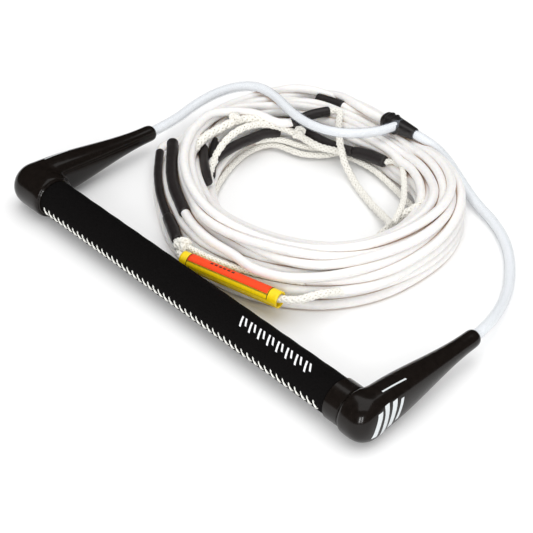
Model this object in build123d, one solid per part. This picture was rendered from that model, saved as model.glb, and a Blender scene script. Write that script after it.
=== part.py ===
from build123d import *
import math
import os

# Tow rope handle: a padded bar between two rubber end caps, a two-legged rope
# bridle that meets in a yoke, and a coated tow line in five sections, coiled behind
# the bar.  Millimetres.  X runs along the bar, Y from the bar to the yoke, Z up.
# The origin is under the middle of the handle, on the surface that it lies on.

# --- bar and grip
grip_length = 300.0
grip_radius = 13.97
cover_thickness = 1.1
tube_radius = 11.0
tube_wall = 1.6
tube_length = 352.0
plug_length = 14.0
slip = 0.05
stitch_count = 51
stitch_length = 7.1
stitch_radius = 0.45
stitch_lean = -49.0
seam_angle = 194.0

# --- end caps
cap_radius = 17.1
collar_radius = 15.14
collar_width = 13.75
cap_end = 187.0
cap_rim = 12.0
arm_reach = 112.0
arm_base_middle = 174.0
arm_tip_middle = 169.5
arm_base_half = (12.2, 16.6)
arm_tip_radius = 6.7
arm_taper_start = (25.0, 10.0)
arm_taper_end = 101.0
arm_station_count = 12
arm_tip_rounding = 3.5
rope_bore_radius = 5.0
knot_chamber_radius = 8.0
knot_chamber = (15.0, 35.0)
knot_radius = 7.6

# --- ropes
bridle_diameter = 8.5
lead_diameter = 7.0
thick_braid_diameter = 7.6
braid_diameter = 6.2
twin_braid_diameter = 5.2

# --- tag on the tow line
tag_start = (-28.0, -27.5)
tag_finish = (53.0, -8.5)
tag_height = 17.5
tag_radius = 6.2
tag_bore_radius = 4.9
tag_slit = 2.6
label_thickness = 0.3
label_span = 100.0
label_length = 62.0

# --- worked out from the above
bar_y = -48.95
bar_z = cap_radius
cap_start = grip_length / 2 + collar_width
tag_length = math.dist(tag_start, tag_finish)
tag_turn = math.degrees(
    math.atan2(tag_finish[1] - tag_start[1], tag_finish[0] - tag_start[0])
)
tag_middle = (
    (tag_start[0] + tag_finish[0]) / 2,
    (tag_start[1] + tag_finish[1]) / 2,
    tag_height,
)

# --- the coil of tow line: the same stations on its inner and outer edge
coil_inside = [
    (56, 100), (51, 126), (36, 148), (5, 166), (-42, 172), (-84, 161), (-105, 138),
    (-109, 105), (-98, 72), (-74, 45), (-37, 27), (4, 31), (35, 48), (52, 72),
]
coil_outside = [
    (90, 98), (82, 140), (56, 176), (4, 196), (-60, 208), (-116, 201), (-151, 164),
    (-164, 108), (-150, 50), (-100, 9), (-47, -16), (17, -16), (62, 4), (84, 45),
]
coil_middle = 15.5
coil_top = 24.0

# --- routes of the ropes that lie free, chosen by hand
bridle_left_route = [
    (-172.6, -13.5, 17.1), (-171.5, 14.0, 17.1), (-170.3, 43.0, 17.2), (-169.6, 70.0, 17.0),
    (-172.5, 92.0, 16.2), (-176.5, 110.5, 17.0), (-174.0, 130.0, 21.0), (-163.5, 145.0, 26.5),
    (-146.5, 153.0, 31.5), (-126.0, 152.5, 32.5), (-104.0, 146.0, 33.0), (-81.0, 141.5, 34.0),
    (-60.5, 143.5, 35.0), (-44.5, 153.0, 35.0), (-34.0, 168.0, 34.3), (-28.8, 182.0, 33.8),
    (-27.8, 196.5, 33.0),
]
bridle_right_route = [
    (172.6, -13.5, 17.1), (171.5, 14.0, 17.1), (170.3, 43.0, 17.2), (168.3, 72.0, 16.6),
    (159.0, 97.5, 11.5), (147.5, 120.5, 6.4), (132.5, 142.5, 4.6), (114.5, 162.0, 4.5),
    (96.5, 175.0, 4.5), (78.5, 183.5, 4.5), (60.5, 189.0, 4.9), (45.0, 194.5, 7.0),
    (31.5, 199.0, 11.0), (20.0, 201.0, 17.0), (9.5, 200.5, 23.5), (-2.0, 198.0, 28.3),
    (-14.0, 195.5, 30.8),
]
lead_route = [
    (-40.0, 193.3, 31.0), (-52.0, 192.0, 31.0), (-65.0, 191.5, 31.5), (-78.5, 193.0, 31.0),
    (-92.0, 195.5, 28.5), (-104.5, 195.0, 25.0), (-115.0, 190.0, 21.5),
]
sleeve_routes = {
    # name: (diameter, points)
    "outer": (6.6, [
        (-151, 53.5, 11.3), (-136, 38.8, 11.5), (-118.5, 24.5, 11.8), (-100, 12, 12),
        (-80.3, 1.8, 12),
    ]),
    "outer_splice": (9.6, [(-80.3, 1.8, 12), (-70, -3.2, 12.5), (-61, -7.9, 13), (-51.5, -13.1, 13.5)]),
    "left": (9.4, [
        (-140.4, 58.1, 23), (-127, 46.5, 24), (-110.5, 31.5, 24.5), (-93, 19, 24.5),
        (-76, 10.5, 24), (-62.5, 4.2, 23.5),
    ]),
    "inner_a": (7.6, [(-124, 75.6, 21), (-111.5, 64.4, 20.5), (-97.5, 54.3, 19.5), (-86, 47, 18)]),
    "inner_b": (7.6, [(-129, 92, 15), (-119.4, 81.7, 14.5), (-107.3, 69.1, 14), (-96.2, 58.5, 13)]),
    "inner_back": (8.4, [
        (-105.5, 70, 19), (-107.3, 82, 19.3), (-108.4, 94, 19), (-108.6, 105.5, 18.2),
        (-108.4, 117, 17), (-108, 128, 17), (-103.5, 137, 14),
    ]),
    "back": (8.4, [
        (-112, 152, 14), (-96, 154.8, 13), (-78, 155.6, 12), (-60, 158, 12), (-47.5, 163.3, 12),
    ]),
    "back_splice": (10.4, [
        (-47.5, 163.3, 12), (-38, 167.5, 12.3), (-28, 169.8, 12.7), (-18.8, 170.3, 13.2),
    ]),
    "upper": (8.2, [(-95.5, 143, 24.5), (-92, 152.5, 27.5), (-87.8, 163, 29), (-82.8, 172, 29)]),
    "far": (8.2, [(-108, 183, 25), (-96, 186.5, 26), (-84, 188.5, 26)]),
    "under": (8.0, [(37, 149.5, 5), (49.5, 141.5, 5), (60, 130.5, 5), (67, 118, 5)]),
}
braid_routes = {
    # name: (diameter, points)
    "tag_loop": (braid_diameter, [
        (-51.5, -13.1, 13.5), (-41, -21.5, 15), (-28, -27.9, 17), (-9, -23.4, 17.6),
        (25, -14.8, 17.3), (50, -9.3, 17.6), (63, -2.5, 19.5), (68.5, 8.5, 21.5), (72, 20.5, 20),
        (74, 32, 15.5),
    ]),
    "tag_return": (twin_braid_diameter, [
        (-42, -17.6, 18.5), (-31, -16.8, 19), (-18, -15.3, 19), (-4.7, -11.8, 19),
        (9.5, -7.5, 19.2), (24.1, -1.6, 19.6), (40, 5.6, 20.2), (53, 14.6, 20.8),
    ]),
    "left_loop": (thick_braid_diameter, [
        (-117.5, 60, 26), (-120.5, 70, 29.5), (-121.3, 80, 30.5), (-120.7, 90, 31),
        (-120.8, 100, 31.3), (-119.3, 110.5, 31), (-115.5, 121, 29), (-110, 130, 25.5),
    ]),
    "inner_loop": (braid_diameter, [
        (-84, 43, 9), (-93.5, 53.5, 13.5), (-102, 65, 18.5), (-108, 77.5, 24), (-111, 91, 28),
        (-112, 105, 29), (-110.8, 119, 27), (-106.5, 131.5, 23), (-98.5, 140, 19),
        (-88, 144, 16.3), (-77, 144.8, 15), (-66.5, 148, 13), (-59, 155, 11.5), (-50.5, 160.5, 11),
    ]),
    "low_loop": (twin_braid_diameter, [
        (-80, 43, 3.5), (-90.5, 58, 3.8), (-99.5, 73.5, 4), (-106.5, 90, 4), (-111, 106, 4.2),
        (-111, 119, 4.5), (-107.5, 129, 5), (-100, 134.5, 5), (-90, 136, 5), (-80.5, 138.5, 5),
        (-73, 144.5, 4.5), (-66.5, 151.5, 4.5), (-62.5, 159, 4.5), (-60.5, 167, 4.5),
    ]),
    "low_twin": (twin_braid_diameter, [
        (-111, 118, 11), (-106, 130, 11), (-96.5, 137.5, 10), (-86.5, 141, 9), (-77.5, 147.5, 7.5),
        (-70.5, 156, 6), (-66.5, 165.5, 5.5),
    ]),
    "hanging_loop": (braid_diameter, [
        (-82.8, 172, 29), (-79.6, 177.2, 29.4), (-74, 176, 29.6), (-68.5, 168, 28.3),
        (-59.5, 159.5, 23.5), (-51, 153.8, 17), (-43.5, 150.5, 9.5), (-34, 147.5, 4.8),
        (-21, 141.5, 3.4), (-7.5, 136.5, 3.3), (7, 131.5, 3.5), (21.6, 126, 6), (35, 118.5, 11),
        (45, 110, 17),
    ]),
    "far_loop": (twin_braid_diameter, [
        (-18.8, 170.3, 13.2), (-12.5, 174, 16.5), (-4.5, 172.8, 18.5), (4, 165.8, 19.3),
        (13.5, 156.5, 20.5), (24.5, 145.3, 22), (35, 133.5, 24), (43.5, 121, 25.5), (49, 108, 23),
    ]),
    "low_run": (twin_braid_diameter, [
        (-66, 161, 5), (-48, 164.3, 5), (-28, 165.8, 5), (-8, 161.5, 5), (9, 157, 5),
        (24, 152.5, 5), (37, 149.5, 5),
    ]),
    "right_tail": (braid_diameter, [
        (17, 32, 3.4), (22.5, 43, 3.4), (28.5, 54.5, 3.4), (33.3, 66.5, 3.4),
        (37, 78.5, 3.8), (40, 91, 5.5), (40.8, 102.5, 9.5), (42.5, 112.5, 15.5),
        (45.8, 121, 22), (49.5, 129.5, 26.5), (51.5, 138, 28),
    ]),
}
knot_places = [((-38.5, -19.0, 19.5), 7.0), ((-120.3, 105.5, 33.0), 6.2), ((-88.0, 144.0, 18.0), 6.2)]


def save(shape, name):
    shape.label = name
    export_step(shape, f"parts/{name}.step")


def disc_ring(outer, inner, start, length):
    """A ring round the bar's axis, from x = start, length long along X."""
    ring = Circle(outer) - Circle(inner) if inner else Circle(outer)
    return extrude(Plane(origin=(start, bar_y, bar_z), z_dir=(1, 0, 0)) * ring, length)


def both_sides(make, name):
    """Writes the right-hand piece and its mirror image."""
    save(make(), f"{name}_right")
    save(mirror(make(), about=Plane.YZ), f"{name}_left")


def rope(points, diameter, name):
    """A rope's tube: straight runs joined by arcs as large as the runs allow."""
    spots = [Vector(*p) for p in points]
    runs = [b - a for a, b in zip(spots, spots[1:])]
    radii = []
    for before, after in zip(runs, runs[1:]):
        half_turn = math.radians(before.get_angle(after)) / 2
        radii.append(0.45 * min(before.length, after.length) / math.tan(half_turn))
    path = FilletPolyline(*spots, radius=radii)
    tube = sweep(Plane(origin=path @ 0, z_dir=path % 0) * Circle(diameter / 2), path=path)
    share = tube.volume / (math.pi * diameter**2 / 4 * path.length)
    longest = max(run.length for run in runs)
    print(
        f"{name}: {path.length:.0f} mm, volume share {share:.4f}, longest run {longest:.0f},"
        f" lowest {tube.bounding_box().min.Z:.1f}, radii {[round(r) for r in radii]},"
        f" tightest {min(radii) / diameter:.1f} diameters"
    )
    return tube


def stitches():
    """Diagonal stitches that close the grip cover along its lower front edge."""
    made = []
    pitch = (grip_length - 8) / stitch_count
    for i in range(stitch_count):
        along = -grip_length / 2 + 4 + pitch * (i + 0.5)
        stitch = Cylinder(stitch_radius, stitch_length, rotation=(0, 90, 0))
        lifted = Pos(0, 0, grip_radius + stitch_radius + 0.15) * Rot(Z=stitch_lean) * stitch
        made.append(Pos(along, bar_y, bar_z) * Rot(X=seam_angle - 90) * lifted)
    return Compound(children=made)


def bar_plug():
    """A plug that seals the tube's end, so that the handle floats."""
    return disc_ring(
        tube_radius - tube_wall - slip, 0, tube_length / 2 - plug_length - 1, plug_length
    )


def collar():
    """The ring between the grip and the cap, on the bar's tube."""
    ring = disc_ring(
        collar_radius, tube_radius + slip, grip_length / 2 + slip, collar_width - 2 * slip
    )
    rims = ring.edges().filter_by(GeomType.CIRCLE).group_by(SortBy.RADIUS)[-1]
    return chamfer(rims, 0.8)


def arm_axis(reach):
    """The middle of the right-hand arm, at a distance from the bar's axis."""
    share = reach / arm_reach
    return Vector(
        arm_base_middle + (arm_tip_middle - arm_base_middle) * share, bar_y + reach, bar_z
    )


def arm_section(reach):
    """The arm's outline there: it tapers along a cosine from its base to its tip."""
    halves = []
    for base, start in zip(arm_base_half, arm_taper_start):
        share = min(max((reach - start) / (arm_taper_end - start), 0), 1)
        halves.append(arm_tip_radius + (base - arm_tip_radius) * (1 + math.cos(math.pi * share)) / 2)
    return Plane(origin=arm_axis(reach), x_dir=(1, 0, 0), z_dir=(0, 1, 0)) * Ellipse(*halves)


def end_cap(seat):
    """A right-hand cap from x = seat: a round body over the bar's end and a tapering arm."""
    middle = Plane(origin=(seat, bar_y, bar_z), z_dir=(1, 0, 0))
    body = extrude(middle * Circle(cap_radius), cap_end - seat)
    body = fillet(body.edges().sort_by(Axis.X)[-1], cap_rim)
    body = fillet(body.edges().sort_by(Axis.X)[0], 1.6)
    reaches = [arm_reach * i / arm_station_count for i in range(arm_station_count + 1)]
    arm = loft([arm_section(reach) for reach in reaches], ruled=True)
    arm = fillet(arm.faces().sort_by(Axis.Y)[-1].edges(), arm_tip_rounding)
    cap = body + arm - disc_ring(cap_radius, 0, seat - 20, 20)
    cap -= disc_ring(collar_radius + slip, 0, cap_start - 20, 20)
    cap -= disc_ring(tube_radius + slip, 0, cap_start - 1, (tube_length / 2 + slip) - cap_start + 1)
    first, last = knot_chamber
    chamber = Plane(origin=arm_axis((first + last) / 2), z_dir=(0, 1, 0)) * Circle(knot_chamber_radius)
    cap -= extrude(chamber, (last - first) / 2, both=True)
    bore_from = arm_axis(last - 1)
    bore_to = arm_axis(arm_reach + 2)
    bore = Plane(origin=bore_from, z_dir=bore_to - bore_from) * Circle(rope_bore_radius)
    return cap - extrude(bore, (bore_to - bore_from).length)


def cap_knot():
    """The bridle's stopper knot, inside the cap's chamber."""
    return Pos(*arm_axis(sum(knot_chamber) / 2)) * Sphere(knot_radius)


def yoke():
    """The moulded joint: the tow line enters one end, the bridle's legs leave its other end and side."""
    along = Plane(origin=(-43, 193.1, 31), z_dir=(1, 0.075, 0))
    stations = [(0, 6.6), (3, 7.0), (14, 7.0), (21, 5.9), (31, 4.6)]
    body = loft([along.offset(at) * Circle(radius) for at, radius in stations])
    ends = body.faces().sort_by(Axis.X)
    body = fillet(ends[0].edges() + ends[-1].edges(), 1.2)
    side = Plane(origin=(-28.3, 186.0, 31.6), z_dir=(0.0, 1, -0.1))
    return body + extrude(side * Circle(5.6), 8)


def coil_ring(inner_share, outer_share, low, high):
    """One section's turns: a ring between two shares of the way across the coil."""

    def outline(share):
        spots = [
            (a[0] + (b[0] - a[0]) * share, a[1] + (b[1] - a[1]) * share)
            for a, b in zip(coil_inside, coil_outside)
        ]
        return make_face(Spline(*spots, periodic=True))

    flat = outline(outer_share) - outline(inner_share)
    ring = extrude(Pos(0, 0, low) * flat, high - low)
    room_length, room_behind, room_ahead = tag_length + 14, 8.2, 24.0
    floor = tag_height - tag_radius - 1.0
    room = Box(
        room_length, room_behind + room_ahead, 40, align=(Align.CENTER, Align.MAX, Align.MIN)
    )
    room = Pos(0, room_behind, 0) * room
    return ring - Pos(tag_middle[0], tag_middle[1], floor) * Rot(Z=tag_turn) * room


def tag_tube():
    """A split plastic tube, loose on the braid that runs through it."""
    wall = Circle(tag_radius) - Circle(tag_bore_radius)
    wall -= Pos(0, -tag_radius) * Rectangle(tag_slit, 2 * tag_radius - tag_bore_radius)
    return tag_place() * extrude(wall, tag_length / 2, both=True)


def tag_label():
    """The plain label stuck along the top of the tag."""
    inner = tag_radius + 0.02
    band = Circle(inner + label_thickness) - Circle(inner)
    half = math.radians(label_span / 2)
    reach = 3 * tag_radius
    wedge = Polyline(
        (0, 0), (reach * math.sin(half), reach * math.cos(half)),
        (-reach * math.sin(half), reach * math.cos(half)), close=True,
    )
    shift = -tag_length / 2 + 4 + label_length / 2
    strip = extrude(band & make_face(wedge), label_length / 2, both=True)
    return tag_place() * Pos(0, 0, shift) * strip


def tag_place():
    """The tag's own frame: its length along local Z, the label's side along local Y."""
    heading = (math.cos(math.radians(tag_turn)), math.sin(math.radians(tag_turn)), 0)
    sideways = (heading[1], -heading[0], 0)
    return Location(Plane(origin=tag_middle, x_dir=sideways, z_dir=heading))


os.makedirs("parts", exist_ok=True)

save(disc_ring(tube_radius, tube_radius - tube_wall, -tube_length / 2, tube_length), "bar_tube")
foam_outer = grip_radius - cover_thickness - slip
save(disc_ring(foam_outer, tube_radius + slip, -grip_length / 2, grip_length), "foam_sleeve")
save(disc_ring(grip_radius, foam_outer + slip, -grip_length / 2, grip_length), "grip_cover")
save(stitches(), "seam_stitches")
both_sides(bar_plug, "bar_plug")
both_sides(collar, "collar")
save(end_cap(cap_start), "end_cap_right")
save(mirror(end_cap(grip_length / 2 + slip), about=Plane.YZ), "end_cap_left")
both_sides(cap_knot, "cap_knot")

save(yoke(), "yoke")
save(rope(bridle_left_route, bridle_diameter, "bridle_left"), "bridle_left")
save(rope(bridle_right_route, bridle_diameter, "bridle_right"), "bridle_right")
save(rope(lead_route, lead_diameter, "lead"), "lead_line")

save(coil_ring(0, 1, 0, coil_middle), "line_section_1")
for number in range(4):
    ring = coil_ring(number / 4, (number + 1) / 4, coil_middle, coil_top)
    save(ring, f"line_section_{number + 2}")

for name, (diameter, points) in sleeve_routes.items():
    save(rope(points, diameter, name), f"sleeve_{name}")
for name, (diameter, points) in braid_routes.items():
    save(rope(points, diameter, name), f"braid_{name}")
knots = Compound(children=[Pos(*place) * Sphere(radius) for place, radius in knot_places])
save(knots, "braid_knots")

save(tag_tube(), "tag_tube")
save(tag_label(), "tag_label")
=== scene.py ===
"""Looks of the tow rope handle: grip, caps, bridle, yoke, coiled tow line, sleeves, braids, tag."""
import math

import bmesh
import bpy
import numpy as np
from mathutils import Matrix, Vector
from mathutils.bvhtree import BVHTree


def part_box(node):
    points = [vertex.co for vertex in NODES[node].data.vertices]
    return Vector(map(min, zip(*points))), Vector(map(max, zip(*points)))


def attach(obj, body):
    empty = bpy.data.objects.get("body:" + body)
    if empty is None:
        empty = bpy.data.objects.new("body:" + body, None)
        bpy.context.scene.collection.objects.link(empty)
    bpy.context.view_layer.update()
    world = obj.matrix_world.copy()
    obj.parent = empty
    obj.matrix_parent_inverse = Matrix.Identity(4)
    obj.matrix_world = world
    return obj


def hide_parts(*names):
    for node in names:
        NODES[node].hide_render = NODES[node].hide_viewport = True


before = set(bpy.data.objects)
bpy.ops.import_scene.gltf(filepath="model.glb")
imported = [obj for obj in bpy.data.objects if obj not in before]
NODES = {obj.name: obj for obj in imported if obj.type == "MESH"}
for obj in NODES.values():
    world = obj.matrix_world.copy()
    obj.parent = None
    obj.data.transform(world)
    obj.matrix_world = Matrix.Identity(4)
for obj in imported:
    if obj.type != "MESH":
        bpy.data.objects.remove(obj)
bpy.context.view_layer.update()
MM = 0.001

# ----------------------------------------------------------------- sizes, in metres
LINE_D = 0.0070
BRIDLE_D = 0.0085
THICK_BRAID_D = 0.0076
BRAID_D = 0.0062
TWIN_D = 0.0052
BRAID_STRANDS = 8
GRIP_LOW, GRIP_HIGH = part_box("grip_cover")
BAR_Y = (GRIP_LOW.y + GRIP_HIGH.y) / 2
BAR_Z = (GRIP_LOW.z + GRIP_HIGH.z) / 2
GRIP_R = (GRIP_HIGH.z - GRIP_LOW.z) / 2
GRIP_HALF = GRIP_HIGH.x
CAP_R = BAR_Z
STITCHES = 51
SEAM_START = 0.004
PITCH = (2 * GRIP_HALF - 2 * SEAM_START) / STITCHES
SEAM = 99.0  # degrees from straight up towards the front
COVER_END_R = 0.0112
WORLD_STRENGTH = 0.77
LOOKS_DOWN, LOOKS_LEFT = 38.052, 47.186  # degrees, from level and from +Y


# ----------------------------------------------------------------- camera and stage
def make_camera():
    data = bpy.data.cameras.new("camera")
    data.lens = 111.63
    data.sensor_width = 36.0
    camera = bpy.data.objects.new("camera", data)
    camera.location = (0.69445, -0.61597, 0.73850)
    camera.rotation_euler = (math.radians(90 - LOOKS_DOWN), 0, math.radians(LOOKS_LEFT))
    bpy.context.scene.collection.objects.link(camera)
    bpy.context.scene.camera = camera


def area_light(name, place, target, size, power):
    data = bpy.data.lights.new(name, "AREA")
    data.shape = "RECTANGLE"
    data.size, data.size_y = size
    data.energy = power
    light = bpy.data.objects.new(name, data)
    light.location = place
    light.rotation_euler = (Vector(target) - Vector(place)).to_track_quat("-Z", "Y").to_euler()
    bpy.context.scene.collection.objects.link(light)


def make_stage():
    scene = bpy.context.scene
    scene.view_settings.view_transform = "Standard"
    world = bpy.data.worlds.new("studio")
    scene.world = world
    world.use_nodes = True
    world.cycles_visibility.glossy = False
    background = world.node_tree.nodes["Background"]
    background.inputs["Color"].default_value = (1.0, 1.0, 1.0, 1)
    background.inputs["Strength"].default_value = WORLD_STRENGTH
    bpy.ops.mesh.primitive_plane_add(size=8, location=(0, 0, -0.0003))
    floor = bpy.context.object
    floor.name = "floor"
    floor.data.materials.append(
        surface("floor_paper", (0.94, 0.94, 0.94), roughness=0.9, bump=0.02, scale=60)
    )
    area_light("overhead", (0.1, 0.12, 1.5), (0, 0.05, 0), (1.8, 1.5), 11.5)
    area_light("window_a", (0.9, -1.2, 0.55), (0.15, -0.05, 0.02), (0.16, 0.60), 6.0)
    area_light("window_b", (1.15, -0.95, 0.55), (0.15, -0.05, 0.02), (0.13, 0.60), 5.0)


# ----------------------------------------------------------------- materials
def surface(
    name, colour, roughness=0.5, bump=0.0, scale=400.0, vary=0.0, coat=0.0, sheen=0.0,
    subsurface=0.0, alpha=1.0, rough_vary=0.0, specular=0.5, gap_shade_colour=None,
    gap_reach=0.006,
):
    """A finish with fine grain: noise varies its colour, roughness and relief; a gap shade colour, if
    given, paints shade into deep gaps.
    """
    material = bpy.data.materials.new(name)
    material.use_nodes = True
    nodes, links = material.node_tree.nodes, material.node_tree.links
    shader = nodes["Principled BSDF"]
    shader.inputs["Base Color"].default_value = (*colour, 1)
    shader.inputs["Roughness"].default_value = roughness
    shader.inputs["Specular IOR Level"].default_value = specular
    shader.inputs["Coat Weight"].default_value = coat
    shader.inputs["Coat Roughness"].default_value = 0.05
    shader.inputs["Sheen Weight"].default_value = sheen
    shader.inputs["Subsurface Weight"].default_value = subsurface
    shader.inputs["Subsurface Radius"].default_value = (0.003, 0.0022, 0.0014)
    shader.inputs["Alpha"].default_value = alpha
    place = nodes.new("ShaderNodeTexCoord")
    noise = nodes.new("ShaderNodeTexNoise")
    noise.inputs["Scale"].default_value = scale
    noise.inputs["Detail"].default_value = 6
    links.new(place.outputs["Object"], noise.inputs["Vector"])
    if bump:
        relief = nodes.new("ShaderNodeBump")
        relief.inputs["Strength"].default_value = bump
        relief.inputs["Distance"].default_value = 0.0005
        links.new(noise.outputs["Fac"], relief.inputs["Height"])
        links.new(relief.outputs["Normal"], shader.inputs["Normal"])
    if vary:
        ramp = nodes.new("ShaderNodeValToRGB")
        ramp.color_ramp.elements[0].position = 0.3
        ramp.color_ramp.elements[1].position = 0.7
        ramp.color_ramp.elements[0].color = (*[c * (1 - vary) for c in colour], 1)
        ramp.color_ramp.elements[1].color = (*[min(1, c * (1 + vary)) for c in colour], 1)
        links.new(noise.outputs["Fac"], ramp.inputs["Fac"])
        links.new(ramp.outputs["Color"], shader.inputs["Base Color"])
    if rough_vary:
        spread = nodes.new("ShaderNodeMapRange")
        spread.inputs["To Min"].default_value = roughness - rough_vary
        spread.inputs["To Max"].default_value = roughness + rough_vary
        links.new(noise.outputs["Fac"], spread.inputs["Value"])
        links.new(spread.outputs["Result"], shader.inputs["Roughness"])
    # Painted shade in deep gaps, when a gap shade colour is given.
    if gap_shade_colour:
        paint_gap_shade(nodes, links, shader, gap_shade_colour, gap_reach)
    return material


def paint_gap_shade(nodes, links, shader, gap_shade_colour, gap_reach):
    """Painted shade: deep, narrow gaps, found by ambient occlusion, take a warmer, darker colour, as
    between strands that lie together.
    """
    hidden = nodes.new("ShaderNodeAmbientOcclusion")
    hidden.inputs["Distance"].default_value = gap_reach
    hidden.samples = 8
    depth = nodes.new("ShaderNodeMapRange")
    depth.inputs["From Min"].default_value = 0.04
    depth.inputs["From Max"].default_value = 0.30
    links.new(hidden.outputs["AO"], depth.inputs["Value"])
    mixed = nodes.new("ShaderNodeMix")
    mixed.data_type = "RGBA"
    mixed.inputs["A"].default_value = (*gap_shade_colour, 1)
    links.new(depth.outputs["Result"], mixed.inputs["Factor"])
    links.new(shader.inputs["Base Color"].links[0].from_socket, mixed.inputs["B"])
    links.new(mixed.outputs["Result"], shader.inputs["Base Color"])


# ----------------------------------------------------------------- mesh and curve helpers
def add(name, mesh, body="handle", material=None):
    piece = bpy.data.objects.new(name, mesh)
    bpy.context.scene.collection.objects.link(piece)
    if material is not None:
        mesh.materials.append(material)
    if hasattr(mesh, "polygons"):
        mesh.polygons.foreach_set("use_smooth", [True] * len(mesh.polygons))
    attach(piece, body)
    return piece


def carried(line):
    """Frames carried along a line of points without twist: (tangents, across, up)."""
    line = np.asarray(line, float)
    tangent = np.gradient(line, axis=0)
    tangent /= np.linalg.norm(tangent, axis=1)[:, None]
    across = np.zeros_like(line)
    start = np.cross(tangent[0], (0, 0, 1.0))
    if np.linalg.norm(start) < 1e-6:
        start = np.array((1.0, 0, 0))
    across[0] = start / np.linalg.norm(start)
    for i in range(1, len(line)):
        turned = across[i - 1] - tangent[i] * (across[i - 1] @ tangent[i])
        across[i] = turned / np.linalg.norm(turned)
    return tangent, across, np.cross(across, tangent)


def tube_faces(rings, sides, closed=True):
    """Faces between rings of points laid one after another, and over both ends if closed."""
    faces = []
    for i in range(rings - 1):
        for k in range(sides):
            n = (k + 1) % sides
            faces.append((i * sides + k, i * sides + n, (i + 1) * sides + n, (i + 1) * sides + k))
    if closed:
        faces.append(tuple(range(sides)))
        faces.append(tuple((rings - 1) * sides + k for k in reversed(range(sides))))
    return faces


def grid_faces(first, rows, columns):
    """Faces over a grid of points that starts at this point."""
    corners = [first + r * columns + c for r in range(rows - 1) for c in range(columns - 1)]
    return [(a, a + 1, a + columns + 1, a + columns) for a in corners]


def tube_parts(line, radius, sides):
    """Vertices and faces of a closed tube; radius is one number, or a number at each point."""
    line = np.asarray(line, float)
    radius = np.broadcast_to(np.asarray(radius, float), (len(line),))
    _, across, up = carried(line)
    turn = np.linspace(0, 2 * np.pi, sides, endpoint=False)
    ring = np.cos(turn)[None, :, None] * across[:, None] + np.sin(turn)[None, :, None] * up[:, None]
    points = (line[:, None] + ring * radius[:, None, None]).reshape(-1, 3)
    return points, tube_faces(len(line), sides)


def joined_mesh(name, parts):
    points, faces, first = [], [], 0
    for p, f in parts:
        points.append(p)
        faces += [tuple(i + first for i in face) for face in f]
        first += len(p)
    mesh = bpy.data.meshes.new(name)
    mesh.from_pydata(np.concatenate(points).tolist(), [], faces)
    mesh.update()
    outward = bmesh.new()
    outward.from_mesh(mesh)
    bmesh.ops.recalc_face_normals(outward, faces=outward.faces)
    outward.to_mesh(mesh)
    outward.free()
    return mesh


def nurbs(name, points, diameter, resolution=6, roundness=5):
    """A round cord along a smooth curve with these control points."""
    data = bpy.data.curves.new(name, "CURVE")
    data.dimensions = "3D"
    data.resolution_u = resolution
    data.bevel_depth = 1.0
    data.bevel_resolution = roundness
    data.use_fill_caps = True
    spline = data.splines.new("NURBS")
    spline.points.add(len(points) - 1)
    for spot, point in zip(spline.points, points):
        spot.co = (*point, 1)
        spot.radius = diameter / 2
    spline.order_u = 3
    spline.use_endpoint_u = True
    return data


def line_of(data):
    """The points along a curve's own line, read with its bevel off."""
    depth, data.bevel_depth = data.bevel_depth, 0
    bare = bpy.data.objects.new("bare", data)
    mesh = bpy.data.meshes.new_from_object(bare)
    line = np.array([v.co for v in mesh.vertices], float)
    bpy.data.objects.remove(bare)
    bpy.data.meshes.remove(mesh)
    data.bevel_depth = depth
    return line


def evenly(line, step):
    """The same line as points about one step apart."""
    line = np.asarray(line, float)
    along = np.concatenate([[0], np.cumsum(np.linalg.norm(np.diff(line, axis=0), axis=1))])
    at = np.linspace(0, along[-1], max(2, int(round(along[-1] / step)) + 1))
    return np.stack([np.interp(at, along, line[:, k]) for k in range(3)], axis=1)


def length_of(line):
    return float(np.linalg.norm(np.diff(line, axis=0), axis=1).sum())


def metres(points):
    return [tuple(x * MM for x in p) for p in points]


# ----------------------------------------------------------------- routes, as in the CAD source
COIL_INSIDE = metres([
    (56, 100), (51, 126), (36, 148), (5, 166), (-42, 172), (-84, 161), (-105, 138),
    (-109, 105), (-98, 72), (-74, 45), (-37, 27), (4, 31), (35, 48), (52, 72),
])
COIL_OUTSIDE = metres([
    (90, 98), (82, 140), (56, 176), (4, 196), (-60, 208), (-116, 201), (-151, 164),
    (-164, 108), (-150, 50), (-100, 9), (-47, -16), (17, -16), (62, 4), (84, 45),
])
BRIDLE_LEFT = metres([
    (-172.6, -13.5, 17.1), (-171.5, 14.0, 17.1), (-170.3, 43.0, 17.2), (-169.6, 70.0, 17.0),
    (-172.5, 92.0, 16.2), (-176.5, 110.5, 17.0), (-174.0, 130.0, 21.0), (-163.5, 145.0, 26.5),
    (-146.5, 153.0, 31.5), (-126.0, 152.5, 32.5), (-104.0, 146.0, 33.0), (-81.0, 141.5, 34.0),
    (-60.5, 143.5, 35.0), (-44.5, 153.0, 35.0), (-34.0, 168.0, 34.3), (-28.8, 182.0, 33.8),
    (-27.8, 196.5, 33.0),
])
BRIDLE_RIGHT = metres([
    (172.6, -13.5, 17.1), (171.5, 14.0, 17.1), (170.3, 43.0, 17.2), (168.3, 72.0, 16.6),
    (159.0, 97.5, 11.5), (147.5, 120.5, 6.4), (132.5, 142.5, 4.6), (114.5, 162.0, 4.5),
    (96.5, 175.0, 4.5), (78.5, 183.5, 4.5), (60.5, 189.0, 4.9), (45.0, 194.5, 7.0),
    (31.5, 199.0, 11.0), (20.0, 201.0, 17.0), (9.5, 200.5, 23.5), (-2.0, 198.0, 28.3),
    (-14.0, 195.5, 30.8),
])
LEAD = metres([
    (-40.0, 193.3, 31.0), (-52.0, 192.0, 31.0), (-65.0, 191.5, 31.5), (-78.5, 193.0, 31.0),
    (-92.0, 195.5, 28.5), (-104.5, 195.0, 25.0), (-115.0, 190.0, 21.5),
])
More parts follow.
